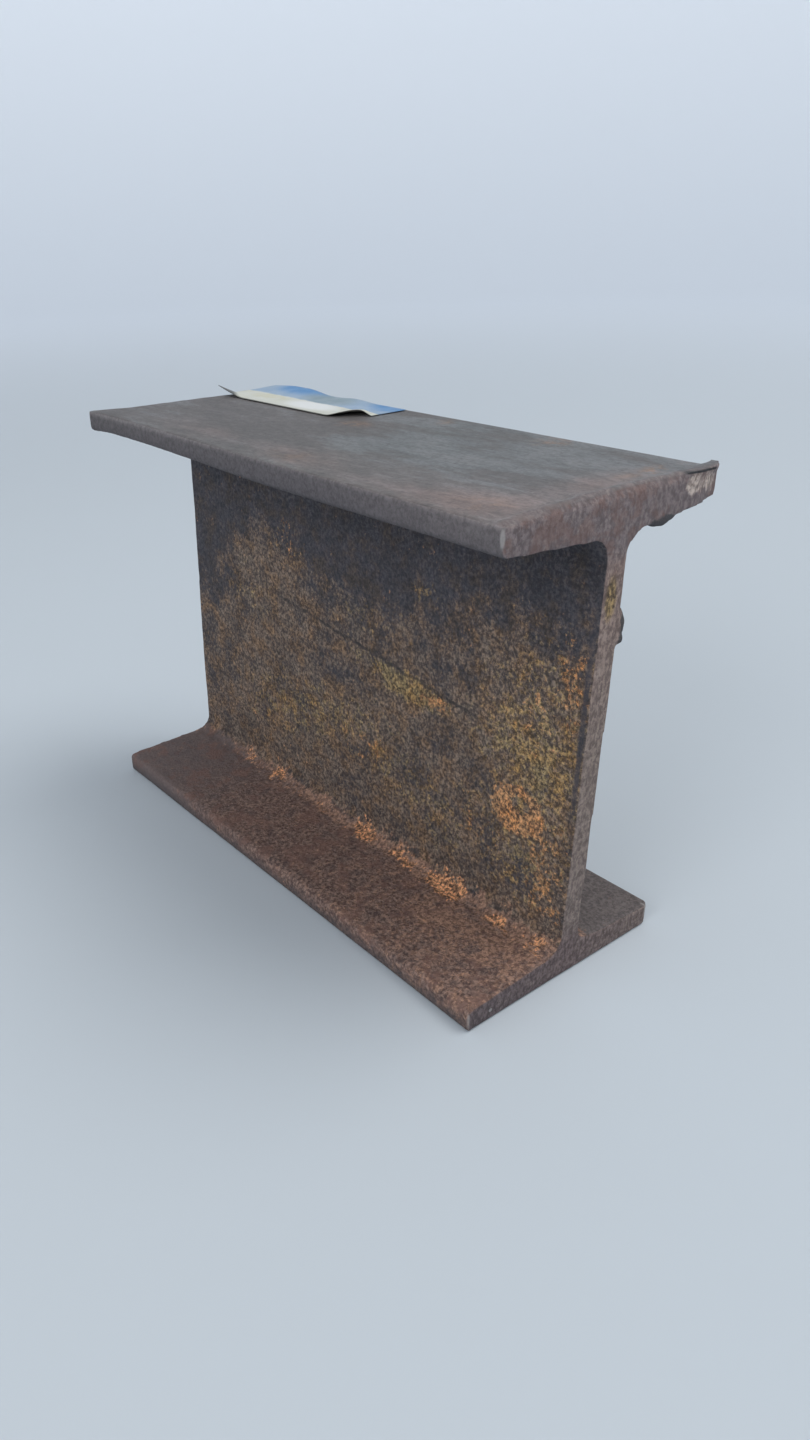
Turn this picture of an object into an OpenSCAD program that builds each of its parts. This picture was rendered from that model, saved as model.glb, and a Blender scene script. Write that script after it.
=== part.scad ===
// A short off-cut of hot-rolled I-beam with tapered flanges, standing on its lower flange.
// Millimetres. X runs along the beam, Y across the flanges and Z up from the floor.
// The origin is in the middle of the lower face: under the web, halfway along it.

/* [Rolled section] */
// Height of the section over both flanges
section_h = 160; // [120:1:220]
// Width of each flange
flange_w = 88; // [70:1:110]
// Thickness of the web
web_t = 8.2; // [4.5:0.1:10]
// Mean thickness of a flange, halfway between the web's face and the flange's tip
flange_t = 9.4; // [8.5:0.1:14]
// Slope of a flange's inner face, as a rise over a run
inner_slope_share = 0.07; // [0.05:0.01:0.2]
// Radius of the fillet where a flange meets the web
root_r = 6.5; // [5:0.5:12]
// Radius of the toe on the inner edge of a flange's tip
toe_r = 2; // [1:0.5:5]
// Radius of the outer edges of the flanges
edge_r = 1; // [0.5:0.1:2]

/* [Cut ends] */
// Length between the two cuts, along the middle of the web
beam_l = 220; // [170:1:1000]
// Lean of both cuts out of plumb, in degrees
cut_lean = 1.5; // [0:0.1:4]
// Turn of the left cut out of square across the flanges, in degrees
left_cut_skew = 4.5; // [0:0.1:8]
// How far the upper far corner of the right end is torn back
tear_depth = 2.8; // [0.5:0.1:8]
// How far the tear runs in from the flange's far tip
tear_run = 13; // [6:0.5:30]

/* [Paper label] */
// Length of the label before it curled
label_l = 90; // [70:1:110]
// Width of the label
label_w = 27; // [15:1:34]
// Thickness of the label's paper
label_t = 0.2; // [0.15:0.05:0.4]
// Radius to which each end of the label curls up
curl_r = 20; // [12:1:30]
// Angle through which each end of the label curls up, in degrees
curl_angle = 34; // [15:1:60]
// Gap between the label and the flange's far edge
label_margin = 2.5; // [0.5:0.5:8]
// How far in from the left cut the label's middle lies
label_inset = 45.4; // [40:0.1:120]

/* [Hidden] */
$fn = 96;

// Cuts run past the surface they cut by this much
overrun = 5;
// Arcs that blend two faces run this far into them
lap = 0.01;

half_h = section_h / 2;
half_w = flange_w / 2;
half_web = web_t / 2;

// The flange's thickness at its tip, and the line of the upper flange's inner face about mid-height
tip_t = flange_t - inner_slope_share * (half_w - half_web) / 2;
inner_z0 = half_h - tip_t - inner_slope_share * half_w;
slope_length = sqrt(1 + inner_slope_share * inner_slope_share);
slope_angle = atan(inner_slope_share);

// Height of the upper flange's inner face at a distance y from the web's middle plane
function inner_z(y) = inner_z0 + inner_slope_share * y;

// Centres of the root fillet and of the toe, in the upper quarter of the section
root_y = half_web + root_r;
root_z = inner_z(root_y) - root_r * slope_length;
toe_y = half_w - toe_r;
toe_z = inner_z(toe_y) + toe_r * slope_length;

// Centre of a flange's outer edge, in the same quarter
edge_y = half_w - edge_r;
edge_z = half_h - edge_r;

// A block this long on each side is larger than any end that it cuts
cut_block = section_h + flange_w + 2 * overrun;

label_x = label_inset - beam_l / 2;
label_y = half_w - label_margin - label_w;
curl_length = curl_r * curl_angle * PI / 180;
label_flat = label_l - 2 * curl_length;

// The sharp outline of a quarter of the section, from the flange's outer corner to the web
quarter_outline = [[half_w, half_h], [half_w, half_h - tip_t], [half_web, inner_z(half_web)]];

// The points of an outline in reverse order
function reversed(points) = [for (i = [len(points) - 1:-1:0]) points[i]];

// The points of an outline turned over, across or down
function turned(points, across, down) = [for (p = points) [across * p[0], down * p[1]]];

// The wedge between two directions from a point, in degrees, out to a reach
module wedge(from, to, reach) {
    middle = (from + to) / 2;
    corner = reach / cos((to - from) / 2);
    polygon([[0, 0], reach * [cos(from), sin(from)], corner * [cos(middle), sin(middle)],
             reach * [cos(to), sin(to)]]);
}

// A bar of a flat outline, along the beam and past both of its cuts
module rolled_bar() {
    translate([-beam_l / 2 - cut_block / 2, 0, half_h])
        rotate([90, 0, 90])
            linear_extrude(height = beam_l + cut_block)
                children();
}

// The section before its roots and toes are rounded
module sharp_section() {
    polygon(concat(
        quarter_outline,
        reversed(turned(quarter_outline, 1, -1)),
        turned(quarter_outline, -1, -1),
        reversed(turned(quarter_outline, -1, 1))));
}

// A shape drawn in the upper right quarter of the section, in all four quarters
module each_quarter() {
    for (across = [0, 1])
        for (down = [0, 1])
            mirror([across, 0])
                mirror([0, down])
                    children();
}

// What fills the corner between the web and a flange's inner face
module root_fillet() {
    translate([root_y, root_z])
        difference() {
            wedge(90 + slope_angle, 180, root_r + half_web);
            circle(r = root_r + lap);
        }
}

// What a rounding takes off a corner that lies between two directions from the rounding's centre
module corner_waste(from, to, radius) {
    difference() {
        wedge(from, to, radius + overrun);
        circle(r = radius + lap);
    }
}

// What the rounded toe and the rounded outer edge take off a flange's tip
module tip_waste() {
    translate([toe_y, toe_z])
        corner_waste(slope_angle - 90, 0, toe_r);
    translate([edge_y, edge_z])
        corner_waste(0, 90, edge_r);
}

// A block beyond the right end, turned about the middle of the cut
module right_waste(lean) {
    translate([beam_l / 2, 0, half_h])
        rotate([0, lean, 0])
            translate([0, -cut_block / 2, -cut_block / 2])
                cube(cut_block);
}

// A block beyond the left end, which is out of square as well
module left_waste(lean, skew) {
    translate([-beam_l / 2, 0, half_h])
        rotate([0, lean, -skew])
            translate([-cut_block, -cut_block / 2, -cut_block / 2])
                cube(cut_block);
}

// The corner of the upper flange that broke off before the cut was through
module torn_corner() {
    translate([beam_l / 2 + half_h * tan(cut_lean), half_w - tear_run, half_h])
        rotate([0, 0, atan(tear_depth / tear_run)])
            translate([0, -overrun, 0])
                cube(cut_block);
}

module i_beam() {
    color("dimgray")
        difference() {
            union() {
                rolled_bar() sharp_section();
                rolled_bar() each_quarter() root_fillet();
            }
            rolled_bar() each_quarter() tip_waste();
            right_waste(cut_lean);
            left_waste(cut_lean, left_cut_skew);
            torn_corner();
        }
}

// Side view of one curled end of the label, from the point where it leaves the flange
module curled_end() {
    translate([0, curl_r + label_t])
        intersection() {
            difference() {
                circle(r = curl_r + label_t);
                circle(r = curl_r);
            }
            wedge(-90, curl_angle - 90, curl_r + label_t + overrun);
        }
}

// Half of the label, from its middle to one curled end
module half_label() {
    linear_extrude(height = label_w)
        square([label_flat / 2, label_t]);
    translate([label_flat / 2, 0, 0])
        linear_extrude(height = label_w)
            curled_end();
}

module paper_label() {
    color("lightsteelblue")
        translate([label_x, label_y + label_w, section_h])
            rotate([90, 0, 0])
                for (end = [0, 1])
                    mirror([end, 0, 0])
                        half_label();
}

i_beam();
paper_label();
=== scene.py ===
"""A rusted off-cut of steel I-beam with a curled paper label on its upper flange, in metres."""

import math

import bpy
from mathutils import Matrix, Vector


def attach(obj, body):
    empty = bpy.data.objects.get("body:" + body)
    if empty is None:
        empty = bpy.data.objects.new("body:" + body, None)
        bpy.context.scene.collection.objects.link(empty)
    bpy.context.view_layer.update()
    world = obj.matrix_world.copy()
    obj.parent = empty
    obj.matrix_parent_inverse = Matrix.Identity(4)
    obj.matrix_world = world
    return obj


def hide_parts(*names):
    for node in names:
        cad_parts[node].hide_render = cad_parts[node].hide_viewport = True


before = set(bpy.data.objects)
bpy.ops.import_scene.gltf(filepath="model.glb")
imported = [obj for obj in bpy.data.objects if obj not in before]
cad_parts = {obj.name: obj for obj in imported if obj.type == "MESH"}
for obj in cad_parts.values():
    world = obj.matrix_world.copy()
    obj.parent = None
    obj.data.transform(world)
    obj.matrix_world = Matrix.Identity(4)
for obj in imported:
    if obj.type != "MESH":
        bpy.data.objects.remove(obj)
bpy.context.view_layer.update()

MM = 0.001

# The beam's height, and its right cut with the torn corner, in millimetres
BEAM_TOP = 160.0
CUT_MIDDLE = 110.0
CUT_LEAN = math.tan(math.radians(1.5))
TEAR_START = 31.0
TEAR_SLOPE = 2.8 / 13.0

# The burr of the right cut: heights across the flange, and its foot and crest behind the cut
BURR_HEIGHTS = [(-43.5, 0.3), (-41, 0.7), (-36, 1.1), (-25, 1.6), (-12, 1.9), (2, 2.0), (14, 1.9),
                (25, 1.5), (34, 0.9), (43.4, 0.5)]
BURR_FOOT = 9.0
BURR_DEPTH = 2.5
BURR_CREST_BACK = 4.2
BURR_CREST_FRONT = 1.6

# The folded lip: places across the flange, with its lower side, its upper side and how far it stands out
LIP_RUN = [(23.5, 1.0, 1.6, -0.6), (27, 0.9, 1.7, 0.1), (32, 0.5, 1.4, 0.5), (38, 0.1, 1.0, 0.6),
           (42, -0.1, 0.9, 0.6), (44.3, 0.1, 1.3, 0.3)]
LIP_REACH = 3.4
LIP_BEVEL = 0.2

# The lumps of slag: name, place, half sizes and turn in degrees, and the knobs on all of them
SLAG_LUMPS = [
    ("flange_slag", (110.4, 17.4, 150.0), (2.2, 4.6, 1.7), 4),
    ("flange_slag_end", (110.6, 21.3, 150.3), (1.6, 2.0, 1.1), 0),
    ("web_slag", (109.6, 4.9, 122.6), (1.9, 2.2, 5.6), 0),
    ("web_slag_end", (109.7, 5.6, 118.6), (1.5, 1.7, 1.7), 0),
]
SLAG_KNOBS = 2.2
SLAG_RELIEF = 1.0

# How far the right end's corners are knocked back, and one of them drawn out
FAR_CHIP = 2.6
NEAR_WEAR = 0.7
NEAR_KINK = 0.5

# The unevenness of the real section
EDGE_BOW = 0.9
EDGE_THINNING = 1.0
LOWER_WIDENING = 1.0
WEB_SET_BACK = 2.8

# The grid of the beam's skin, how far its arrises are eased and how many triangles are left
SKIN_GRID = 0.75 * MM
EASE_FACTOR = 0.5
EASE_PASSES = 1
BURR_EASE_PASSES = 8
SKIN_TRIANGLES = 190000

# The label's paper, in millimetres
LABEL_LEFT = -106.5
LABEL_NEAR = 14.5
LABEL_LENGTH = 84.5
LABEL_WIDTH = 27.0
LABEL_CLEARANCE = 0.3
PAPER_THICKNESS = 0.2

# How far the label's corners and edges are drawn, tucked and lifted, in millimetres
TIP_DRAW = 3.0
TIP_LIFT = 3.2
CORNER_TUCK = 10.5
ARCH_LIFT = 1.9
FAR_HUMP_LIFT = 1.4
FAR_RIPPLE_LIFT = 0.6


# Modelling by hand

def pick(*pieces):
    """Makes these pieces the only ones that operators act on, the first of them the active one."""
    bpy.ops.object.select_all(action="DESELECT")
    for piece in pieces:
        piece.select_set(True)
    bpy.context.view_layer.objects.active = pieces[0]


def new_shape(add, **settings):
    """Adds a primitive on its own and returns it."""
    bpy.ops.object.select_all(action="DESELECT")
    add(**settings)
    return bpy.context.object


def finish_with(piece, kind, **settings):
    """Adds a modifier to a piece, sets it and applies it."""
    pick(piece)
    modifier = piece.modifiers.new(kind.lower(), kind)
    for name, value in settings.items():
        setattr(modifier, name, value)
    bpy.ops.object.modifier_apply(modifier=modifier.name)


def clouds(name, size, depth):
    """A cloudy relief with lumps of this size."""
    texture = bpy.data.textures.new(name, "CLOUDS")
    texture.noise_scale = size
    texture.noise_depth = depth
    return texture


def rough_up(piece, texture, height, group="", stretch=(1, 1, 1), level=0.5):
    """Raises and sinks a piece's skin by a relief, all over or by the weights of a group of its points."""
    grain = bpy.data.objects.new("grain", None)
    bpy.context.scene.collection.objects.link(grain)
    grain.scale = stretch
    bpy.context.view_layer.update()
    finish_with(piece, "DISPLACE", texture=texture, texture_coords="OBJECT", texture_coords_object=grain,
                strength=height, mid_level=level, vertex_group=group)
    bpy.data.objects.remove(grain)


def weigh(piece, name, rule):
    """A group of a piece's points, weighed by a rule on each point's place in millimetres and normal."""
    group = piece.vertex_groups.new(name=name)
    for point in piece.data.vertices:
        weight = rule(point.co / MM, point.normal)
        if weight > 0.0:
            group.add([point.index], weight, "REPLACE")


def step(value, low, high):
    """0 up to low, 1 from high, and a smooth step between."""
    share = min(max((value - low) / (high - low), 0.0), 1.0)
    return share * share * (3.0 - 2.0 * share)


def between(value, low, high, blur):
    """1 from low to high, with a smooth step at each end."""
    return step(value, low - blur, low + blur) * (1.0 - step(value, high - blur, high + blur))


# The beam

def right_cut(z):
    """Where the right cut lies along the beam at a height, in millimetres."""
    return CUT_MIDDLE + CUT_LEAN * (z - BEAM_TOP / 2)


def tear_back(y):
    """How far the torn corner lies behind the right cut."""
    return max(y - TEAR_START, 0.0) * TEAR_SLOPE


def bar_across(name, slices):
    """A bar across the flange: a cube bisected into slices, each given its own place.

    A slice is (y, (back, front, z) of its lower side, (back, front, z) of its upper side), in millimetres."""
    bar = new_shape(bpy.ops.mesh.primitive_cube_add, size=1.0)
    bar.name = name
    bpy.ops.object.mode_set(mode="EDIT")
    for cut in range(1, len(slices) - 1):
        bpy.ops.mesh.select_all(action="SELECT")
        bpy.ops.mesh.bisect(plane_co=(0, cut / (len(slices) - 1) - 0.5, 0), plane_no=(0, 1, 0))
    bpy.ops.object.mode_set(mode="OBJECT")
    for point in bar.data.vertices:
        y, lower, upper = slices[round((point.co.y + 0.5) * (len(slices) - 1))]
        back, front, z = upper if point.co.z > 0.0 else lower
        point.co = Vector((front if point.co.x > 0.0 else back, y, z)) * MM
    return bar


def cut_burr():
    """The rounded burr that the cut rolled up along the upper arris of the right end."""
    slices = []
    for y, height in BURR_HEIGHTS:
        front = right_cut(BEAM_TOP) - tear_back(y)
        foot = (front - BURR_FOOT, front, BEAM_TOP - BURR_DEPTH)
        crest = (front - BURR_CREST_BACK, front - BURR_CREST_FRONT, BEAM_TOP + height)
        slices.append((y, foot, crest))
    return bar_across("cut_burr", slices)


def folded_lip():
    """The thin lip of the burr that is folded out over the torn corner."""
    slices = []
    for y, low, high, out in LIP_RUN:
        front = right_cut(BEAM_TOP) - tear_back(y) + out
        under = (front - LIP_REACH, front, BEAM_TOP + low)
        over = (front - LIP_REACH, front - LIP_BEVEL, BEAM_TOP + high)
        slices.append((y, under, over))
    return bar_across("folded_lip", slices)


def slag_lump(name, place, size, turn):
    """A lump of slag: a ball flattened, turned about the beam's length and roughened."""
    lump = new_shape(bpy.ops.mesh.primitive_ico_sphere_add, subdivisions=4, radius=MM)
    lump.name = name
    lump.scale = size
    lump.rotation_euler = (math.radians(turn), 0, 0)
    lump.location = Vector(place) * MM
    bpy.ops.object.transform_apply(location=True, rotation=True, scale=True)
    rough_up(lump, clouds(name, SLAG_KNOBS * MM, 1), SLAG_RELIEF * MM)
    return lump


def beam_blank():
    """The beam as the frame has it, with the burr and the slag of the cut joined on."""
    piece = bpy.data.objects.new("rusted_beam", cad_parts["i_beam"].data.copy())
    piece.data.materials.clear()
    bpy.context.scene.collection.objects.link(piece)
    pick(piece)
    bpy.ops.object.mode_set(mode="EDIT")
    bpy.ops.mesh.select_all(action="SELECT")
    bpy.ops.mesh.remove_doubles(threshold=0.001 * MM)
    bpy.ops.object.mode_set(mode="OBJECT")
    lumps = [cut_burr(), folded_lip()] + [slag_lump(*lump) for lump in SLAG_LUMPS]
    pick(piece, *lumps)
    bpy.ops.object.join()
    return piece


def chip_corners(piece):
    """Knocks back the end corners that are chipped or worn, and draws out the one that is kinked."""
    for point in piece.data.vertices:
        x, y, z = point.co / MM
        if x < 100.0:
            continue
        far_chip = step(y, 40.2, 44.5) * (1.0 - step(z, 10.5, 12.0)) * FAR_CHIP
        near_wear = step(-y, 42.2, 44.2) * step(z, 150.0, 152.0) * (1.0 - step(z, 158.5, 161.0)) * NEAR_WEAR
        near_kink = step(-y, 41.5, 44.5) * (1.0 - step(z, 2.0, 5.0)) * NEAR_KINK
        point.co.x -= (far_chip + near_wear - near_kink) * step(x, 104.0, 108.0) * MM


def warp(piece):
    """Gives the section the small unevenness of the real one.

    The upper flange's near edge bows up and thins towards the left, the lower one is a little wider on the
    near side, and the web's left cut is set back at the top."""
    for point in piece.data.vertices:
        x, y, z = point.co / MM
        near_edge = step(-y, 24.0, 44.0)
        leftwards = step(-x, -20.0, 80.0) * (1.0 - 0.5 * step(-x, 95.0, 116.0))
        upper = step(z, 140.0, 150.0)
        under = 1.0 - step(z, 154.0, 159.0)
        point.co.z += (EDGE_BOW + EDGE_THINNING * under) * near_edge * leftwards * upper * MM
        point.co.y -= LOWER_WIDENING * near_edge * (1.0 - step(z, 14.0, 24.0)) * MM
        on_web = (1.0 - step(abs(y), 6.0, 12.0)) * between(z, 18.0, 146.0, 3.0)
        point.co.x += WEB_SET_BACK * on_web * step(z, 30.0, 140.0) * step(-x, 96.0, 104.0) * MM


def on_burr(place, normal):
    """Weight of the burr along the right cut, short of the folded lip."""
    return step(place.x, 101.0, 104.0) * step(place.z, 157.5, 159.5) * (1.0 - step(place.y, 20.0, 26.0))


def on_inner_faces(place, normal):
    """Weight of the web and of the flanges' inner faces, where the rust is thick."""
    inside = between(place.z, 4.0, BEAM_TOP - 4.0, 2.0)
    return inside * (1.0 - step(abs(normal.x), 0.5, 0.8)) * (1.0 - step(abs(place.y), 42.0, 43.6))


def on_cut_ends(place, normal):
    """Weight of the two cut ends."""
    return step(abs(normal.x), 0.6, 0.85)


def on_lower_roots(place, normal):
    """Weight of the lower root fillets, where rust has built up."""
    along_root = between(abs(place.y), 5.0, 12.0, 1.5) * between(place.z, 9.0, 17.0, 2.0)
    return along_root * (1.0 - step(abs(normal.x), 0.4, 0.7))


def on_outer_faces(place, normal):
    """Weight of the flanges' smoother outer faces."""
    return step(abs(place.z - BEAM_TOP / 2), 76.0, 79.5) * (1.0 - step(abs(normal.x), 0.4, 0.7))


def make_beam():
    """The rusted beam in one skin, with its burr, its slag and the relief of its rust."""
    beam = beam_blank()
    finish_with(beam, "REMESH", mode="VOXEL", voxel_size=SKIN_GRID)
    finish_with(beam, "SMOOTH", factor=EASE_FACTOR, iterations=EASE_PASSES)
    weigh(beam, "burr", on_burr)
    finish_with(beam, "SMOOTH", factor=EASE_FACTOR, iterations=BURR_EASE_PASSES, vertex_group="burr")
    chip_corners(beam)
    warp(beam)
    weigh(beam, "inner_faces", on_inner_faces)
    weigh(beam, "cut_ends", on_cut_ends)
    weigh(beam, "lower_roots", on_lower_roots)
    weigh(beam, "outer_faces", on_outer_faces)
    rough_up(beam, clouds("rolled_waviness", 40 * MM, 1), 0.22 * MM)
    rough_up(beam, clouds("rust_scabs", 4.0 * MM, 3), 0.42 * MM, "inner_faces")
    rough_up(beam, clouds("rust_pits", 1.9 * MM, 2), 0.22 * MM, "inner_faces")
    rough_up(beam, clouds("root_crust", 5 * MM, 3), 1.1 * MM, "lower_roots", level=0.38)
    rough_up(beam, clouds("cut_drag", 1.8 * MM, 2), 0.14 * MM, "cut_ends", stretch=(1, 1, 3))
    rough_up(beam, clouds("scale_flakes", 6 * MM, 3), 0.12 * MM, "outer_faces", stretch=(4, 1, 1))
    triangles = 2 * len(beam.data.polygons)
    finish_with(beam, "DECIMATE", ratio=SKIN_TRIANGLES / triangles)
    pick(beam)
    bpy.ops.object.shade_smooth()
    return beam


# The label

def label_tip(along, across):
    """Weight of the label's near left corner, which is drawn out to a thin curled tip."""
    return max(1.0 - along / 0.17, 0.0) ** 1.4 * max(1.0 - across / 0.22, 0.0)


def label_tuck(along, across):
    """Weight of the label's near right corner, which is tucked in."""
    return step(along, 0.84, 1.0) * max(1.0 - across / 0.5, 0.0)


def label_lift(along, across):
    """How far the label stands off the flange, in millimetres, at a share of its length and width."""
    arch = step(along, 0.83, 0.945) * (1.0 - step(along, 0.95, 1.0)) * step(1.0 - across, 0.35, 0.95)
    far_hump = step(across, 0.45, 1.0) * step(along, -0.10, 0.20) * (1.0 - step(along, 0.28, 0.48))
    far_ripple = step(across, 0.6, 1.0) * between(along, 0.58, 0.74, 0.08)
    return (TIP_LIFT * label_tip(along, across) + ARCH_LIFT * arch
            + FAR_HUMP_LIFT * far_hump + FAR_RIPPLE_LIFT * far_ripple)


def make_label():
    """The curled label: a grid whose points are put in place and which is then thickened."""
    label = new_shape(bpy.ops.mesh.primitive_grid_add, x_subdivisions=90, y_subdivisions=27, size=1.0)
    label.name = "curled_label"
    for point in label.data.vertices:
        along, across = point.co.x + 0.5, point.co.y + 0.5
        x = LABEL_LEFT + LABEL_LENGTH * along - TIP_DRAW * label_tip(along, across)
        y = LABEL_NEAR + LABEL_WIDTH * across + CORNER_TUCK * label_tuck(along, across)
        z = BEAM_TOP + LABEL_CLEARANCE + label_lift(along, across)
        point.co = Vector((x, y, z)) * MM
    finish_with(label, "SOLIDIFY", thickness=PAPER_THICKNESS * MM, offset=1.0)
    pick(label)
    bpy.ops.object.shade_smooth()
    return label


# Finishes

# The part of a noise's span that holds nearly all of its values
NOISE_LOW = 0.38
NOISE_HIGH = 0.62


class Finish:
    """A procedural finish. Each method adds a node to it and returns what the node gives."""

    def __init__(self, name):
        self.material = bpy.data.materials.new(name)
        self.material.use_nodes = True
        self.tree = self.material.node_tree
        self.shader = self.tree.nodes["Principled BSDF"]
        coordinates = self.tree.nodes.new("ShaderNodeTexCoord")
        self.place = coordinates.outputs["Object"]
        self.facing = coordinates.outputs["Normal"]
        self.sheet = coordinates.outputs["UV"]

    def feed(self, socket, value):
        """Links what another node gives to a socket, or sets the socket to a plain value."""
        if isinstance(value, bpy.types.NodeSocket):
            self.tree.links.new(value, socket)
        else:
            socket.default_value = value

    def node(self, kind, inputs, **settings):
        node = self.tree.nodes.new("ShaderNode" + kind)
        for name, value in settings.items():
            setattr(node, name, value)
        for socket, value in inputs.items():
            self.feed(node.inputs[socket], value)
        return node

    def maths(self, operation, first, second=0.0):
        return self.node("Math", {0: first, 1: second}, operation=operation).outputs[0]

    def vectors(self, operation, first, second):
        return self.node("VectorMath", {0: first, 1: second}, operation=operation).outputs[0]

    def times(self, first, *others):
        for other in others:
            first = self.maths("MULTIPLY", first, other)
        return first

    def plus(self, first, *others):
        for other in others:
            first = self.maths("ADD", first, other)
        return first

    def less(self, first, second):
        return self.maths("SUBTRACT", first, second)

    def either(self, first, second):
        return self.maths("MAXIMUM", first, second)

    def size_of(self, value):
        return self.maths("ABSOLUTE", value)

    def fade(self, value, low, high):
        """0 at low, 1 at high and a smooth step between, where low may be the higher of the two."""
        return self.node("MapRange", {"Value": value, "From Min": low, "From Max": high},
                         interpolation_type="SMOOTHSTEP").outputs["Result"]

    def stretch(self, value, low, high, least, most):
        """A value moved in a straight line from one span to another and kept inside it."""
        return self.node("MapRange", {"Value": value, "From Min": low, "From Max": high,
                                      "To Min": least, "To Max": most}).outputs["Result"]

    def band(self, value, low, high, blur):
        """1 from low to high, with a smooth step at each end."""
        rise = self.fade(value, low - blur, low + blur)
        return self.times(rise, self.fade(value, high + blur, high - blur))

    def axes(self, vector):
        return self.node("SeparateXYZ", {0: vector}).outputs

    def moved(self, shift=(0, 0, 0), scale=(1, 1, 1), vector=None):
        """Places on the piece, scaled and then shifted before a pattern is laid on them."""
        inputs = {"Vector": vector or self.place, "Location": shift, "Scale": scale}
        return self.node("Mapping", inputs).outputs[0]

    def noise(self, size, detail, roughness, vector):
        """Cloudy noise whose patches are about this size, in metres."""
        return self.node("TexNoise", {"Vector": vector, "Scale": 1.0 / size,
                                      "Detail": detail, "Roughness": roughness}).outputs

    def clear_noise(self, size, detail, roughness, shift=(0, 0, 0), scale=(1, 1, 1)):
        """Cloudy noise stretched to run from 0 to 1, its places scaled and shifted first."""
        soft = self.noise(size, detail, roughness, self.moved(shift, scale))[0]
        return self.stretch(soft, NOISE_LOW, NOISE_HIGH, 0.0, 1.0)

    def frayed(self, size, reach):
        """Places on the piece, each pushed about by a noise of this size, this far."""
        push = self.noise(size, detail=4.0, roughness=0.7, vector=self.place)[1]
        centred = self.vectors("SUBTRACT", push, (0.5, 0.5, 0.5))
        return self.vectors("ADD", self.place, self.vectors("MULTIPLY", centred, (reach, reach, reach)))

    def spot(self, centre, radii, places):
        """1 at a point of the piece, in millimetres, fading to 0 at these radii."""
        shift = [-c / r for c, r in zip(centre, radii)]
        scale = [1.0 / (r * MM) for r in radii]
        return self.node("TexGradient", {"Vector": self.moved(shift, scale, places)},
                         gradient_type="SPHERICAL").outputs[1]

    def patch(self, along, across, centre, radii):
        """1 at a place on a sheet, fading to 0 at these radii, all in shares of its length and width."""
        off = [self.times(self.plus(value, -middle), 1.0 / reach)
               for value, middle, reach in zip((along, across), centre, radii)]
        return self.fade(self.plus(self.times(off[0], off[0]), self.times(off[1], off[1])), 1.0, 0.1)

    def blooms(self, table, places):
        """The sum of several spots, each with its own amount."""
        spots = [self.times(self.spot(centre, radii, places), amount) for centre, radii, amount in table]
        return self.plus(*spots)

    def mix(self, amount, below, above):
        """One colour laid over another."""
        return self.node("Mix", {0: amount, 6: below, 7: above}, data_type="RGBA").outputs[2]

    def shade(self, colours, amount):
        """Colours made darker or lighter by an amount about 1."""
        inputs = {0: 1.0, 6: colours, 7: amount}
        return self.node("Mix", inputs, data_type="RGBA", blend_type="MULTIPLY").outputs[2]

    def ramp(self, value, *stops):
        """Colours at shares of a value."""
        ramp = self.node("ValToRGB", {0: value})
        elements = ramp.color_ramp.elements
        while len(elements) < len(stops):
            elements.new(1.0)
        for element, (share, colours) in zip(elements, stops):
            element.position = share
            element.color = colours
        return ramp.outputs[0]

    def relief(self, height, distance, strength):
        return self.node("Bump", {"Height": height, "Distance": distance, "Strength": strength}).outputs[0]


def colour(red, green, blue):
    return (red, green, blue, 1.0)


def grey(value):
    return colour(value, value, value)


# The colours of each kind of rust and scale, from its dark grains to its light ones
SLATE_GRAINS = [(0.10, colour(0.035, 0.031, 0.038)), (0.50, colour(0.057, 0.051, 0.059)),
                (0.95, colour(0.098, 0.085, 0.088))]
BROWN_GRAINS = [(0.10, colour(0.058, 0.041, 0.035)), (0.50, colour(0.128, 0.091, 0.072)),
                (0.92, colour(0.292, 0.204, 0.148))]
OCHRE_GRAINS = [(0.10, colour(0.066, 0.045, 0.028)), (0.50, colour(0.218, 0.147, 0.072)),
                (0.92, colour(0.500, 0.340, 0.157))]
ORANGE_GRAINS = [(0.10, colour(0.080, 0.045, 0.032)), (0.50, colour(0.330, 0.170, 0.082)),
                 (0.90, colour(0.790, 0.395, 0.175))]
CRUST_GRAINS = [(0.10, colour(0.085, 0.048, 0.034)), (0.50, colour(0.365, 0.182, 0.097)),
                (0.86, colour(1.000, 0.490, 0.240))]
CALM_GRAINS = [(0.10, colour(0.138, 0.100, 0.094)), (0.90, colour(0.180, 0.136, 0.130))]
PLUM_GRAINS = [(0.10, colour(0.092, 0.054, 0.046)), (0.50, colour(0.184, 0.117, 0.099)),
               (0.92, colour(0.335, 0.218, 0.172))]
TAN_GRAINS = [(0.10, colour(0.150, 0.086, 0.064)), (0.90, colour(0.440, 0.262, 0.186))]
FAR_GRAINS = [(0.10, colour(0.094, 0.080, 0.080)), (0.90, colour(0.180, 0.152, 0.148))]
CUT_GRAINS = [(0.10, colour(0.146, 0.114, 0.115)), (0.50, colour(0.194, 0.155, 0.157)),
              (0.92, colour(0.262, 0.213, 0.210))]
CUT_WEB_GRAINS = [(0.10, colour(0.158, 0.118, 0.104)), (0.50, colour(0.238, 0.182, 0.160)),
                  (0.92, colour(0.345, 0.270, 0.228))]
CUT_LOW_GRAINS = [(0.10, colour(0.088, 0.064, 0.060)), (0.50, colour(0.132, 0.099, 0.096)),
                  (0.92, colour(0.208, 0.158, 0.149))]
TORN_GRAINS = [(0.10, colour(0.240, 0.185, 0.165)), (0.50, colour(0.430, 0.345, 0.305)),
               (0.90, colour(0.660, 0.545, 0.480))]

# The colours of the upper flange's edge, from its lower side to its upper one, with a painted highlight along
# the worn upper arris
EDGE_HEIGHTS_WITH_HIGHLIGHT = [(0.00, colour(0.066, 0.062, 0.068)), (0.20, colour(0.104, 0.096, 0.102)),
                (0.82, colour(0.124, 0.113, 0.118)), (0.93, colour(0.165, 0.150, 0.154)),
                (1.00, colour(0.215, 0.198, 0.202))]

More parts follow.
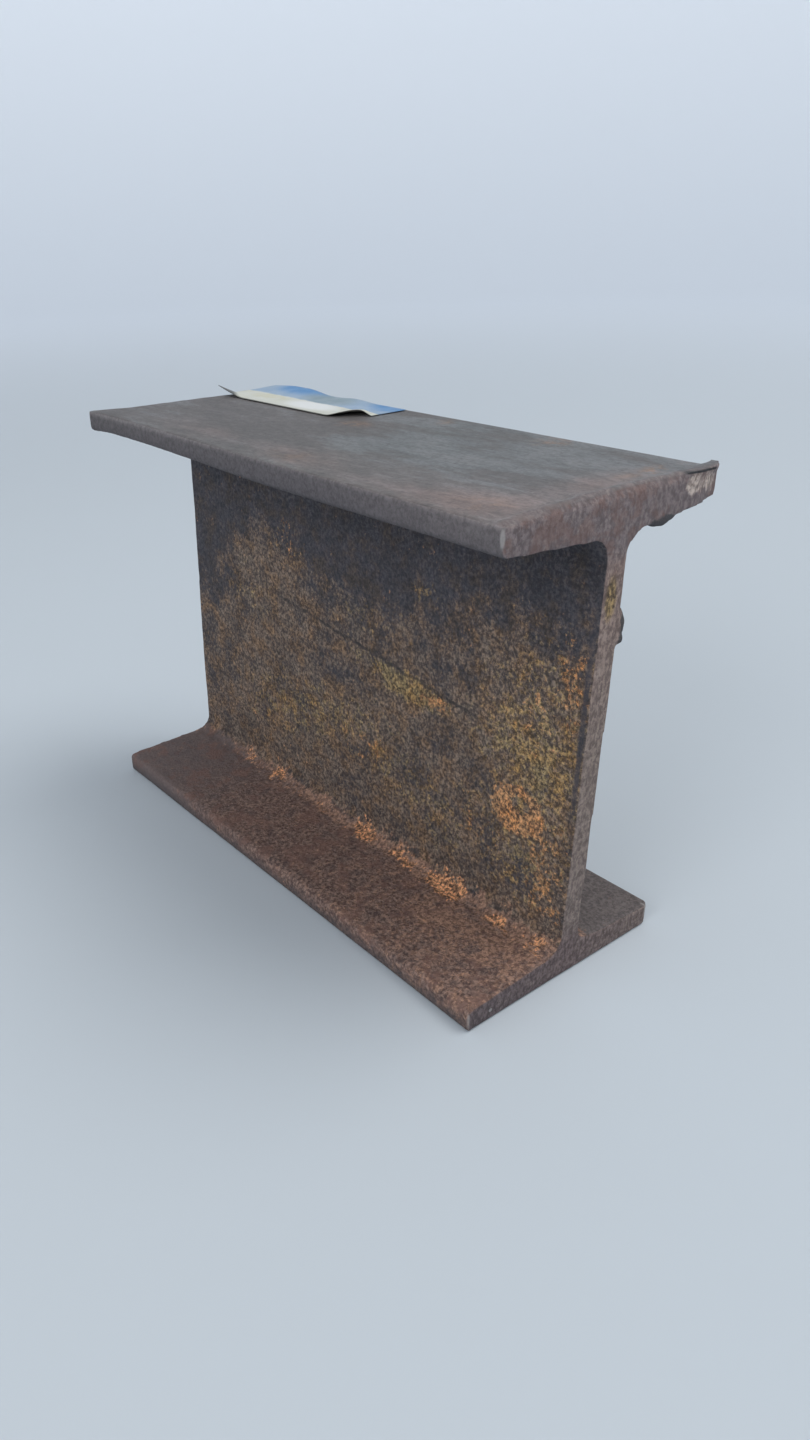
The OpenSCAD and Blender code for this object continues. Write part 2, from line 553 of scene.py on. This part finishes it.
# Shades by a noise, which colours are multiplied by
STROKE_SHADES = [(0.05, grey(0.78)), (0.50, grey(1.0)), (0.95, grey(1.20))]
DRIFT_SHADES = [(0.10, grey(0.88)), (0.90, grey(1.12))]
TOP_DRIFTS = [(0.10, grey(0.84)), (0.90, grey(1.15))]
RUST_HUES = [(0.10, colour(0.91, 0.98, 1.04)), (0.50, grey(1.0)), (0.90, colour(1.12, 0.99, 0.80))]

# Shades from left to right, from the foot of the web's end upwards, and across the lower end
TOP_SHADES = [(0.10, colour(0.82, 0.80, 0.80)), (0.60, colour(0.86, 0.86, 0.85)),
              (0.95, colour(1.02, 0.98, 0.98))]
EDGE_SHADES = [(0.10, colour(0.93, 0.92, 0.92)), (0.65, colour(0.95, 0.93, 0.95)),
               (0.95, colour(1.17, 1.13, 1.12))]
CUT_WEB_SHADES = [(0.10, colour(0.93, 0.94, 0.96)), (0.50, grey(1.0)), (0.95, colour(1.17, 1.10, 1.11))]
CUT_LOW_SHADES = [(0.10, colour(0.88, 0.89, 0.96)), (0.50, colour(1.12, 1.08, 1.10)),
                  (0.85, colour(1.33, 1.33, 1.26))]

# Dark slag, also used as painted shade on the upper side of the burr
SLAG_AND_SHADE = colour(0.052, 0.052, 0.058)
DARK_STRIP = colour(0.046, 0.046, 0.062)
RED_BROWN = colour(0.205, 0.110, 0.088)
WARM_GREY = colour(0.138, 0.129, 0.129)
BLUE_GREY = colour(0.148, 0.159, 0.167)
RUST_TINT = colour(0.250, 0.165, 0.120)
ROSE_TINT = colour(0.225, 0.160, 0.145)
# Worn metal, pale with a painted highlight along the worn corners and edges
WORN_HIGHLIGHT = colour(0.400, 0.375, 0.365)
# Dark for the scratch on the web, and a painted shadow in the slit under the folded lip
SCRATCH_AND_SHADOW = colour(0.022, 0.022, 0.026)

# The blooms of rust on the near face of the web: place and radii in millimetres, and amount
WARM_BLOOMS = [
    ((-56, -4, 106), (38, 12, 26), 0.42), ((85, -4, 105), (40, 12, 30), 0.30),
    ((-10, -4, 128), (95, 12, 28), -0.50), ((-108, -4, 105), (36, 12, 78), -0.62),
    ((0, -4, 24), (45, 12, 10), -0.20), ((56, -4, 62), (24, 12, 13), -0.24),
    ((-10, -4, 74), (22, 12, 16), -0.28), ((90, -4, 30), (12, 12, 9), -0.60),
]
OCHRE_BLOOMS = [
    ((-66, -4, 90), (28, 12, 20), 0.50), ((92, -4, 76), (42, 12, 58), 0.80),
    ((-5, -4, 53), (60, 12, 22), 0.60), ((10, -4, 98), (42, 12, 14), 0.34),
    ((48, -4, 36), (48, 12, 24), 0.55), ((40, -4, 116), (11, 12, 7), 0.55),
    ((-55, -4, 42), (46, 12, 28), 0.48), ((-38, -4, 113), (24, 12, 16), 0.28),
    ((95, -4, 30), (26, 12, 20), 0.40), ((-10, -4, 75), (19, 12, 14), -0.30),
    ((56, -4, 62), (20, 12, 10), -0.32),
]
ORANGE_BLOOMS = [
    ((97, -4, 48), (16, 12, 24), 0.55), ((104, -4, 108), (7, 12, 20), 0.50),
    ((100, -4, 28), (15, 12, 15), 0.60), ((8, -4, 48), (20, 12, 11), 0.50),
    ((-37, -4, 118), (9, 12, 11), 0.55), ((92, -4, 92), (26, 12, 26), 0.36),
    ((70, -4, 42), (20, 12, 16), 0.40), ((-60, -4, 30), (40, 12, 16), 0.25),
]

# Blooms with closer edges: the ochre band along the scratch with its orange core, and an orange ring
CLOSE_OCHRE = [((35, -4, 79.5), (27, 12, 8), 1.35), ((10, -4, 84), (24, 12, 6), 0.60)]
CLOSE_ORANGE = [
    ((46, -4, 79.0), (11, 12, 5), 0.80), ((85, -4, 55), (13, 12, 10.5), 2.60),
    ((86.5, -4, 56.5), (6, 12, 5), -3.50),
]

# The lumps of orange in the near lower root
ROOT_BLOOMS = [
    ((-70, -8, 12), (7, 9, 8), 0.45), ((-50, -7, 12), (8, 9, 8), 0.95), ((-36, -9, 12), (8, 8, 7), 0.45),
    ((10, -8, 12), (8, 9, 8), 1.40), ((34, -9, 12), (9, 8, 7), 0.60), ((57, -8, 12), (11, 9, 9), 2.80),
    ((84, -8, 12), (9, 9, 8), 0.45), ((102, -8, 12), (8, 9, 10), 0.50), ((30, -9, 12), (95, 10, 9), 0.25),
]

# The tints on the upper face, and the specks on the lower flange
RUST_TINTS = [
    ((-16, 12, 160), (11, 8, 9), 0.80), ((54, 36, 160), (9, 9, 9), 0.75), ((4, 36, 160), (9, 7, 9), 0.55),
    ((100, 26, 160), (7, 20, 9), 0.65), ((10, -32, 160), (20, 12, 9), 0.40),
    ((94, -32, 160), (20, 10, 9), 0.45),
]
ROSE_TINTS = [
    ((92, -32, 160), (32, 16, 9), 0.70), ((12, -32, 160), (30, 14, 9), 0.60),
    ((-45, -30, 160), (46, 16, 9), 0.45), ((99, 2, 160), (14, 34, 9), 0.80),
    ((60, -38, 160), (60, 12, 9), 0.35),
]
DECK_SPOTS = [
    ((72, -20, 11), (26, 14, 9), 0.45), ((100, -18, 11), (14, 14, 9), 0.30),
    ((-40, -30, 11), (30, 10, 9), 0.20),
]

# The marks of the right end: the torn corner, the slag, the worn corners and edges with a painted highlight,
# and an ochre spot
TORN_SPOTS = [((110, 29.5, 157.6), (9, 6, 4.5), 1.3), ((109, 38, 156.5), (9, 8, 5.5), 0.8)]
SLAG_SPOTS = [((110, 18.2, 149.2), (8, 8, 2.8), 2.5), ((109.5, 6.6, 122), (5, 3.0, 8.5), 2.5)]
WORN_HIGHLIGHT_SPOTS = [
    ((111.3, -43.9, 157.2), (1.1, 1.1, 4.4), 1.4), ((102, -44.5, 157), (14, 2, 5), 0.42),
    ((108, -45, 5), (1.5, 1.0, 6.5), 1.0), ((107.5, 40.6, 6.5), (4, 1.2, 4), 1.3),
    ((108.5, 4.3, 28), (3, 0.9, 11), 1.3), ((108.2, -35.5, 4), (3, 1.0, 1.0), 2.0),
]
WEB_END_SPOT = ((110.9, -1.0, 132), (4, 3.2, 9))

# The line of the scratch on the web and of the painted shadow in the slit under the folded lip: slope and
# height, in metres
SCRATCH_SLOPE = -0.1122
SCRATCH_HEIGHT = 88.1 * MM
SLIT_SHADOW_SLOPE = -0.080
SLIT_SHADOW_HEIGHT = 163.4 * MM

# Grains of rust are a little longer down the web than along it
GRAIN_SIZE = 0.95 * MM
RUST_STRETCH = (1.08, 1.0, 0.88)

# Rust is duller than scale, and rougher to the touch
RUST_ROUGHNESS = 0.88
SCALE_ROUGHNESS = 0.58
GRAIN_RELIEF = 0.25 * MM
GRAIN_STRENGTH = 0.8
SCALE_CALM = 0.25

# How a soft noise and the tones of single grains are weighed, and the part of their span that is used
SOFT_SHARE = 0.6
TONE_SHARE = 0.4
CRISP_LOW = 0.12
CRISP_HIGH = 0.88

# How flecks and clumps are weighed in specks, and where specks begin and where they close up
FLECK_SHARE = 0.6
CLUMP_SHARE = 0.4
SPECKS_BEGIN = 0.90
SPECKS_CLOSE = 1.40


class BeamFinish(Finish):
    """The beam's finish, with the grains and zones that its kinds of rust share."""

    def __init__(self):
        super().__init__("rusted_steel")
        self.ragged = self.frayed(7 * MM, 11 * MM)
        self.fringed = self.frayed(2.5 * MM, 2.5 * MM)
        self.x, self.y, self.z = self.axes(self.place)
        self.facing_x, self.facing_y, self.facing_z = self.axes(self.facing)
        self.rightwards = self.stretch(self.x, -CUT_MIDDLE * MM, CUT_MIDDLE * MM, 0.0, 1.0)
        cells = self.node("TexVoronoi", {"Vector": self.fringed, "Scale": 1.0 / GRAIN_SIZE})
        self.tone, fleck_tone, other_tone = self.axes(cells.outputs["Color"])
        self.soft_grain = self.clear_noise(1.4 * MM, 3.0, 0.8, scale=RUST_STRETCH)
        self.grain = self.crisp(self.soft_grain, self.tone)
        soft_flecks = self.clear_noise(1.9 * MM, 3.0, 0.8, (0.2, 0.5, 0.9), RUST_STRETCH)
        self.flecks = self.crisp(soft_flecks, fleck_tone)
        soft_flecks = self.clear_noise(2.2 * MM, 3.0, 0.8, (0.3, 0.7, 0.1), RUST_STRETCH)
        self.other_flecks = self.crisp(soft_flecks, other_tone)
        self.hue = self.clear_noise(9 * MM, 5.0, 0.75, (0.9, 0.3, 0.2))
        self.clumps = self.clear_noise(6 * MM, 3.0, 0.7, (0.6, 0.1, 0.4))
        self.mottle = self.clear_noise(10 * MM, 4.0, 0.7)
        self.patches = self.clear_noise(28 * MM, 4.0, 0.6)
        cut_line = self.plus(self.times(self.z, CUT_LEAN), right_cut(0.0) * MM)
        self.from_cut = self.less(cut_line, self.x)

    def grains(self, colours, grain=None):
        """The colours of a kind of rust, by the common grain or by another one."""
        return self.ramp(self.grain if grain is None else grain, *colours)

    def crisp(self, soft, tone):
        """A soft noise with the tones of single grains over it, from 0 to 1."""
        both = self.plus(self.times(soft, SOFT_SHARE), self.times(tone, TONE_SHARE))
        return self.stretch(both, CRISP_LOW, CRISP_HIGH, 0.0, 1.0)

    def speckled(self, amount, flecks, solid=SPECKS_CLOSE):
        """Specks in clumps: none where the amount is 0, and hardly a gap between them where it is 1."""
        texture = self.plus(self.times(flecks, FLECK_SHARE), self.times(self.clumps, CLUMP_SHARE))
        return self.fade(self.plus(amount, texture), SPECKS_BEGIN, solid)


def scratch(paint):
    """How much of a long dark scratch shows on the near face of the web."""
    _, _, ragged_z = paint.axes(paint.ragged)
    line = paint.plus(paint.times(paint.x, SCRATCH_SLOPE), SCRATCH_HEIGHT)
    wander = paint.times(paint.less(ragged_z, paint.z), 0.3)
    off_line = paint.size_of(paint.less(paint.plus(paint.z, wander), line))
    length = paint.band(paint.x, -0.050, 0.068, 0.012)
    broken = paint.stretch(paint.mottle, 0.0, 1.0, 0.35, 0.85)
    return paint.times(paint.fade(off_line, 1.0 * MM, 0.3 * MM), length, broken)


def dark_strip(paint):
    """How much of a thin blue-black strip shows along the right cut."""
    near_cut = paint.band(paint.from_cut, 0.8 * MM, 2.8 * MM, 0.5 * MM)
    length = paint.band(paint.z, 0.062, 0.122, 0.014)
    broken = paint.stretch(paint.flecks, 0.0, 1.0, 0.45, 0.95)
    return paint.times(near_cut, length, broken)


def web_rust(paint):
    """Slate scale under brown, ochre and orange rust, on the web and the flanges' inner faces."""
    downwards = paint.stretch(paint.z, 0.150, 0.080, -0.58, 0.22)
    uneven = paint.plus(paint.times(paint.patches, 0.3), paint.times(paint.mottle, 0.4),
                        paint.times(paint.flecks, 0.35))
    warm = paint.plus(downwards, paint.blooms(WARM_BLOOMS, paint.ragged), uneven)
    skin = paint.mix(paint.fade(warm, 0.2, 0.8), paint.grains(SLATE_GRAINS), paint.grains(BROWN_GRAINS))
    ochre = paint.plus(paint.blooms(OCHRE_BLOOMS, paint.ragged), paint.blooms(CLOSE_OCHRE, paint.fringed),
                       paint.times(paint.patches, 0.08))
    skin = paint.mix(paint.speckled(ochre, paint.flecks), skin, paint.grains(OCHRE_GRAINS))
    orange = paint.plus(paint.blooms(ORANGE_BLOOMS, paint.ragged), paint.blooms(CLOSE_ORANGE, paint.fringed))
    skin = paint.mix(paint.speckled(orange, paint.other_flecks, 1.25), skin, paint.grains(ORANGE_GRAINS))
    skin = paint.shade(skin, paint.ramp(paint.hue, *RUST_HUES))
    near_web = paint.fade(paint.facing_y, -0.5, -0.8)
    skin = paint.mix(paint.times(scratch(paint), near_web), skin, SCRATCH_AND_SHADOW)
    skin = paint.mix(paint.times(dark_strip(paint), near_web), skin, DARK_STRIP)
    return paint.shade(skin, paint.ramp(paint.mottle, *DRIFT_SHADES))


def deck_rust(paint):
    """Plum brown rust on the lower flange, with more tan specks towards the right and a greyer far side."""
    skin = paint.mix(paint.fade(paint.x, -0.09, -0.03), paint.grains(CALM_GRAINS), paint.grains(PLUM_GRAINS))
    skin = paint.mix(paint.times(paint.fade(paint.mottle, 0.45, 0.85), 0.6), skin, RED_BROWN)
    skin = paint.mix(paint.times(paint.fade(paint.clumps, 0.35, 0.0), 0.25), skin, SLAG_AND_SHADE)
    specks = paint.plus(paint.stretch(paint.x, -0.08, 0.10, 0.0, 0.36), paint.times(paint.patches, 0.12),
                        paint.blooms(DECK_SPOTS, paint.ragged))
    skin = paint.mix(paint.speckled(specks, paint.flecks, 1.25), skin, paint.grains(TAN_GRAINS))
    skin = paint.mix(paint.fade(paint.y, 0.002, 0.008), skin, paint.grains(FAR_GRAINS))
    # The lowest few millimetres of the lower flange's tips are darker towards the floor
    on_tips = paint.fade(paint.size_of(paint.y), 0.042, 0.0435)
    low_edge = paint.times(paint.fade(paint.z, 0.0065, 0.0005), on_tips)
    return paint.mix(paint.times(low_edge, 0.7), skin, SLAG_AND_SHADE)


def root_crust(paint, skin):
    """Tan rust that has built up along the lower roots, with lumps of orange in it."""
    _, ragged_y, ragged_z = paint.axes(paint.ragged)
    along_root = paint.times(paint.band(paint.size_of(ragged_y), 0.0045, 0.0115, 0.003),
                             paint.band(ragged_z, 0.008, 0.0175, 0.003))
    tan = paint.plus(paint.stretch(paint.x, -0.09, -0.02, 0.25, 0.70), paint.times(paint.mottle, 0.3))
    tan = paint.speckled(paint.times(along_root, tan), paint.flecks, 1.35)
    skin = paint.mix(tan, skin, paint.grains(TAN_GRAINS))
    orange = paint.plus(paint.blooms(ROOT_BLOOMS, paint.ragged), paint.times(paint.mottle, 0.2), -0.05)
    orange = paint.speckled(paint.times(along_root, orange), paint.other_flecks, 1.20)
    return paint.mix(orange, skin, paint.grains(CRUST_GRAINS))


def edge_scale_and_highlight(paint):
    """Grey scale on the edges of the upper flange, paler along the worn upper arris with a painted highlight.
    """
    skin = paint.ramp(paint.stretch(paint.z, 0.152, 0.160, 0.0, 1.0), *EDGE_HEIGHTS_WITH_HIGHLIGHT)
    skin = paint.shade(skin, paint.ramp(paint.rightwards, *EDGE_SHADES))
    return paint.shade(skin, paint.ramp(paint.grain, *STROKE_SHADES))


def top_scale(paint):
    """Grey mill scale in lengthwise drifts, bluer to the right, with tints of rust."""
    drifts = paint.clear_noise(13 * MM, 5.0, 0.65, scale=(0.35, 1, 1))
    strokes = paint.crisp(paint.clear_noise(2.0 * MM, 4.0, 0.8, scale=(0.4, 1, 1)), paint.tone)
    bluer = paint.times(paint.fade(paint.x, -0.03, 0.03), paint.fade(paint.y, -0.024, -0.004))
    blue = paint.fade(paint.plus(paint.times(drifts, 0.8), paint.times(bluer, 0.6)), 0.4, 1.0)
    skin = paint.mix(blue, WARM_GREY, BLUE_GREY)
    rose = paint.plus(paint.blooms(ROSE_TINTS, paint.ragged), paint.times(drifts, 0.3), -0.15)
    skin = paint.mix(paint.times(paint.fade(rose, 0.0, 0.8), 0.6), skin, ROSE_TINT)
    rust = paint.times(paint.blooms(RUST_TINTS, paint.ragged), paint.fade(paint.mottle, 0.1, 0.8))
    skin = paint.mix(paint.fade(rust, 0.0, 0.8), skin, RUST_TINT)
    skin = paint.shade(skin, paint.ramp(drifts, *TOP_DRIFTS))
    skin = paint.shade(skin, paint.ramp(paint.rightwards, *TOP_SHADES))
    skin = paint.shade(skin, paint.ramp(strokes, *STROKE_SHADES))
    return paint.mix(paint.times(paint.speckled(0.28, paint.flecks), 0.55), skin, SLAG_AND_SHADE)


def lip_slit_shadow(paint):
    """How much of the painted shadow in the slit under the folded lip shows."""
    line = paint.plus(paint.times(paint.y, SLIT_SHADOW_SLOPE), SLIT_SHADOW_HEIGHT)
    off_line = paint.size_of(paint.less(paint.z, line))
    length = paint.band(paint.y, 0.0255, 0.0415, 0.001)
    return paint.times(paint.fade(off_line, 0.50 * MM, 0.15 * MM), length)


def cut_skin(paint):
    """The cut ends: fine streaks down the cut, warmer on the web, redder below, tan where the corner tore."""
    streaks = paint.crisp(paint.clear_noise(1.2 * MM, 3.0, 0.65, scale=(1, 1, 0.5)), paint.tone)
    up_web = paint.ramp(paint.stretch(paint.z, 0.020, 0.145, 0.0, 1.0), *CUT_WEB_SHADES)
    web = paint.shade(paint.grains(CUT_WEB_GRAINS, streaks), up_web)
    skin = paint.mix(paint.fade(paint.z, 0.148, 0.138), paint.grains(CUT_GRAINS, streaks), web)
    across = paint.ramp(paint.stretch(paint.y, -0.044, 0.044, 0.0, 1.0), *CUT_LOW_SHADES)
    low = paint.shade(paint.grains(CUT_LOW_GRAINS, streaks), across)
    skin = paint.mix(paint.fade(paint.z, 0.024, 0.012), skin, low)
    reddish = paint.times(paint.fade(paint.mottle, 0.35, 0.85), paint.fade(paint.z, 0.132, 0.146), 0.45)
    skin = paint.mix(reddish, skin, RED_BROWN)
    torn = paint.plus(paint.blooms(TORN_SPOTS, paint.fringed), paint.times(paint.clumps, 0.5), -0.25)
    skin = paint.mix(paint.fade(torn, 0.15, 0.65), skin, paint.grains(TORN_GRAINS, streaks))
    lip = paint.times(paint.fade(paint.y, 0.024, 0.0265), paint.fade(paint.z, 0.1606, 0.1610))
    skin = paint.mix(paint.times(lip, 0.5), skin, SLAG_AND_SHADE)
    # Painted shadow in the slit under the folded lip
    skin = paint.mix(lip_slit_shadow(paint), skin, SCRATCH_AND_SHADOW)
    ochre = paint.fade(paint.spot(*WEB_END_SPOT, paint.fringed), 0.05, 0.55)
    return paint.mix(paint.times(ochre, 0.95), skin, paint.grains(OCHRE_GRAINS, streaks))


def rusted_steel():
    """The beam's finish: rust inside, scale outside, and the cut ends."""
    paint = BeamFinish()
    upward = paint.fade(paint.facing_z, 0.55, 0.85)
    top = paint.times(upward, paint.fade(paint.z, 0.150, 0.156))
    low_upward = paint.times(upward, paint.fade(paint.z, 0.05, 0.03))
    deck = paint.either(low_upward, paint.fade(paint.z, 0.0095, 0.0085))
    tip = paint.times(paint.fade(paint.size_of(paint.y), 0.0418, 0.0432), paint.fade(paint.z, 0.130, 0.140))
    uneven_cut = paint.plus(paint.from_cut, paint.times(paint.mottle, 4 * MM))
    over_burr = paint.times(top, paint.fade(uneven_cut, 7.5 * MM, 3.0 * MM))
    cut = paint.either(paint.fade(paint.size_of(paint.facing_x), 0.5, 0.8), over_burr)
    slag = paint.fade(paint.blooms(SLAG_SPOTS, paint.fringed), 0.2, 0.8)
    # Worn corners and edges, lightened with a painted highlight where their arrises catch the light
    worn = paint.fade(paint.blooms(WORN_HIGHLIGHT_SPOTS, paint.place), 0.2, 0.9)

    skin = paint.mix(deck, web_rust(paint), deck_rust(paint))
    skin = root_crust(paint, skin)
    skin = paint.mix(tip, skin, edge_scale_and_highlight(paint))
    skin = paint.mix(top, skin, top_scale(paint))
    # Painted shade: where the cut's colour runs over the burr onto the upper face, it is darkened so the burr
    # looks as dim as the end face
    skin = paint.mix(cut, skin, paint.mix(paint.times(top, 0.28), cut_skin(paint), SLAG_AND_SHADE))
    skin = paint.mix(paint.times(slag, 0.9), skin, SLAG_AND_SHADE)
    skin = paint.mix(paint.times(worn, 0.7), skin, WORN_HIGHLIGHT)

    roughness = paint.stretch(top, 0.0, 1.0, RUST_ROUGHNESS, SCALE_ROUGHNESS)
    calm = paint.stretch(top, 0.0, 1.0, 1.0, SCALE_CALM)
    relief = paint.relief(paint.times(paint.soft_grain, calm), GRAIN_RELIEF, GRAIN_STRENGTH)
    paint.feed(paint.shader.inputs["Base Color"], skin)
    paint.feed(paint.shader.inputs["Roughness"], roughness)
    paint.feed(paint.shader.inputs["Normal"], relief)
    return paint.material


# The label's colours
CREAM = colour(0.60, 0.61, 0.54)
WHITER = colour(0.74, 0.76, 0.76)
YELLOWED = colour(0.58, 0.56, 0.40)
PALE_BLUE = colour(0.27, 0.38, 0.52)
DEEP_BLUE = colour(0.075, 0.235, 0.49)
TEAL_GREY = colour(0.20, 0.27, 0.30)
# Painted shade for the paper's near left corner and near edge
PAINTED_SHADE = colour(0.035, 0.037, 0.045)


def label_paper():
    """Satin paper in a cream and a blue band, faded in patches, with painted shade at its near left corner
    and edge.
    """
    paint = Finish("label_paper")
    along, across, _ = paint.axes(paint.sheet)
    drifts = paint.clear_noise(9 * MM, 3.0, 0.6)
    blue = paint.mix(paint.patch(along, across, (0.27, 1.0), (0.24, 0.42)), PALE_BLUE, DEEP_BLUE)
    blue = paint.mix(paint.patch(along, across, (0.93, 1.05), (0.18, 0.45)), blue, DEEP_BLUE)
    faded = paint.times(paint.patch(along, across, (0.55, 0.75), (0.22, 0.40)), 0.8)
    blue = paint.mix(faded, blue, TEAL_GREY)
    cream = paint.mix(paint.patch(along, across, (0.60, 0.32), (0.22, 0.30)), CREAM, WHITER)
    yellow = paint.times(paint.patch(along, across, (0.22, 0.40), (0.20, 0.22)), drifts)
    cream = paint.mix(yellow, cream, YELLOWED)
    ragged_edge = paint.plus(across, paint.times(drifts, 0.03))
    skin = paint.mix(paint.fade(ragged_edge, 0.50, 0.55), cream, blue)
    # Painted shade: the near left corner and a thin line along the near edge are darkened, as if in shadow
    corner = paint.fade(paint.plus(paint.times(along, 1.6), across), 0.27, 0.17)
    painted_shade = paint.either(corner, paint.times(paint.fade(across, 0.03, 0.012), 0.6))
    paint.feed(paint.shader.inputs["Base Color"], paint.mix(paint.times(painted_shade, 0.9), skin, PAINTED_SHADE))
    paint.feed(paint.shader.inputs["Roughness"], paint.stretch(drifts, 0.0, 1.0, 0.38, 0.55))
    return paint.material


# The studio

FLOOR_RADIUS = 2.5
FLOOR_SWEEP = 1.2
FLOOR_SWEEP_STEPS = 10
WALL_HEIGHT = 1.5
FLOOR_HEIGHTS = [(0.0, colour(0.58, 0.64, 0.70)), (0.9, colour(0.90, 0.95, 1.0))]
FLOOR_GLOW = colour(0.80, 0.86, 1.0)
FLOOR_GLOW_STRENGTH = 0.23
FLOOR_GLOW_START = 0.6
FLOOR_GLOW_FULL = 2.6
DAYLIGHT = colour(0.95, 0.975, 1.0)


def floor_finish():
    """Pale paint, which looks paler up the wall to the camera and in reflections, but lights nothing."""
    paint = Finish("pale_floor")
    _, _, height = paint.axes(paint.place)
    away = paint.node("VectorMath", {0: paint.place}, operation="LENGTH").outputs["Value"]
    rays = paint.node("LightPath", {}).outputs
    mirrored = paint.either(rays["Is Glossy Ray"], rays["Is Transmission Ray"])
    seen = paint.either(rays["Is Camera Ray"], mirrored)
    far_off = paint.fade(away, FLOOR_GLOW_START, FLOOR_GLOW_FULL)
    glow = paint.times(seen, far_off, FLOOR_GLOW_STRENGTH)
    paint.feed(paint.shader.inputs["Base Color"], paint.ramp(height, *FLOOR_HEIGHTS))
    paint.shader.inputs["Roughness"].default_value = 0.8
    paint.shader.inputs["Emission Color"].default_value = FLOOR_GLOW
    paint.feed(paint.shader.inputs["Emission Strength"], glow)
    return paint.material


def pale_floor():
    """A round pale floor that sweeps up into a wall all round."""
    floor = new_shape(bpy.ops.mesh.primitive_circle_add, vertices=96, radius=FLOOR_RADIUS, fill_type="NGON")
    floor.name = "pale_floor"
    bpy.ops.object.mode_set(mode="EDIT")
    bpy.ops.mesh.select_all(action="SELECT")
    bpy.ops.mesh.select_mode(type="EDGE")
    bpy.ops.mesh.region_to_loop()
    radius = FLOOR_RADIUS
    for turn in range(1, FLOOR_SWEEP_STEPS + 1):
        before, after = (math.pi / 2 * share / FLOOR_SWEEP_STEPS for share in (turn - 1, turn))
        wider = FLOOR_RADIUS + FLOOR_SWEEP * math.sin(after)
        bpy.ops.mesh.extrude_edges_move()
        bpy.ops.transform.resize(value=(wider / radius, wider / radius, 1.0))
        bpy.ops.transform.translate(value=(0, 0, FLOOR_SWEEP * (math.cos(before) - math.cos(after))))
        radius = wider
    bpy.ops.mesh.extrude_edges_move()
    bpy.ops.transform.translate(value=(0, 0, WALL_HEIGHT))
    bpy.ops.object.mode_set(mode="OBJECT")
    bpy.ops.object.shade_smooth_by_angle(angle=math.radians(40))
    floor.data.materials.append(floor_finish())
    return floor


def soft_lamp(name, place, aim, size, power, tint):
    """A round soft lamp, turned to a point."""
    data = bpy.data.lights.new(name, "AREA")
    data.shape = "DISK"
    data.size = size
    data.energy = power
    data.color = tint
    lamp = bpy.data.objects.new(name, data)
    bpy.context.scene.collection.objects.link(lamp)
    lamp.location = place
    lamp.rotation_euler = (Vector(aim) - Vector(place)).to_track_quat("-Z", "Y").to_euler()


def soft_daylight(strength):
    """Even light from all round."""
    world = bpy.data.worlds.new("soft_daylight")
    world.use_nodes = True
    backdrop = world.node_tree.nodes["Background"]
    backdrop.inputs["Color"].default_value = DAYLIGHT
    backdrop.inputs["Strength"].default_value = strength
    bpy.context.scene.world = world


def photo_camera():
    """The camera where the photograph was taken from, for an image of 810 by 1440."""
    data = bpy.data.cameras.new("camera")
    data.lens = 25.499
    data.sensor_width = 36.0
    data.shift_x = 0.04922
    data.shift_y = 0.02803
    data.clip_start = 0.01
    camera = bpy.data.objects.new("camera", data)
    bpy.context.scene.collection.objects.link(camera)
    right = Vector((0.60764, 0.79363, -0.03041))
    down = Vector((0.36240, -0.31113, -0.87856))
    ahead = Vector((-0.70671, 0.52283, -0.47667))
    turn = Matrix((right, -down, -ahead)).transposed().to_4x4()
    camera.matrix_world = Matrix.Translation((0.27634, -0.21771, 0.22728)) @ turn
    bpy.context.scene.camera = camera


photo_camera()
pale_floor()
soft_daylight(strength=0.5)
soft_lamp("overhead_lamp", place=(0.7, 0.9, 2.3), aim=(0, 0, 0.1), size=1.6, power=26.0,
          tint=(1.0, 0.98, 0.95))
soft_lamp("front_lamp", place=(0.5, -1.9, 1.1), aim=(0, 0, 0.08), size=1.2, power=14.0,
          tint=(1.0, 0.99, 0.98))
bpy.context.scene.view_settings.view_transform = "Standard"

beam = make_beam()
beam.data.materials.append(rusted_steel())
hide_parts("i_beam")
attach(beam, "root")

label = make_label()
label.data.materials.append(label_paper())
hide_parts("paper_label")
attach(label, "root")
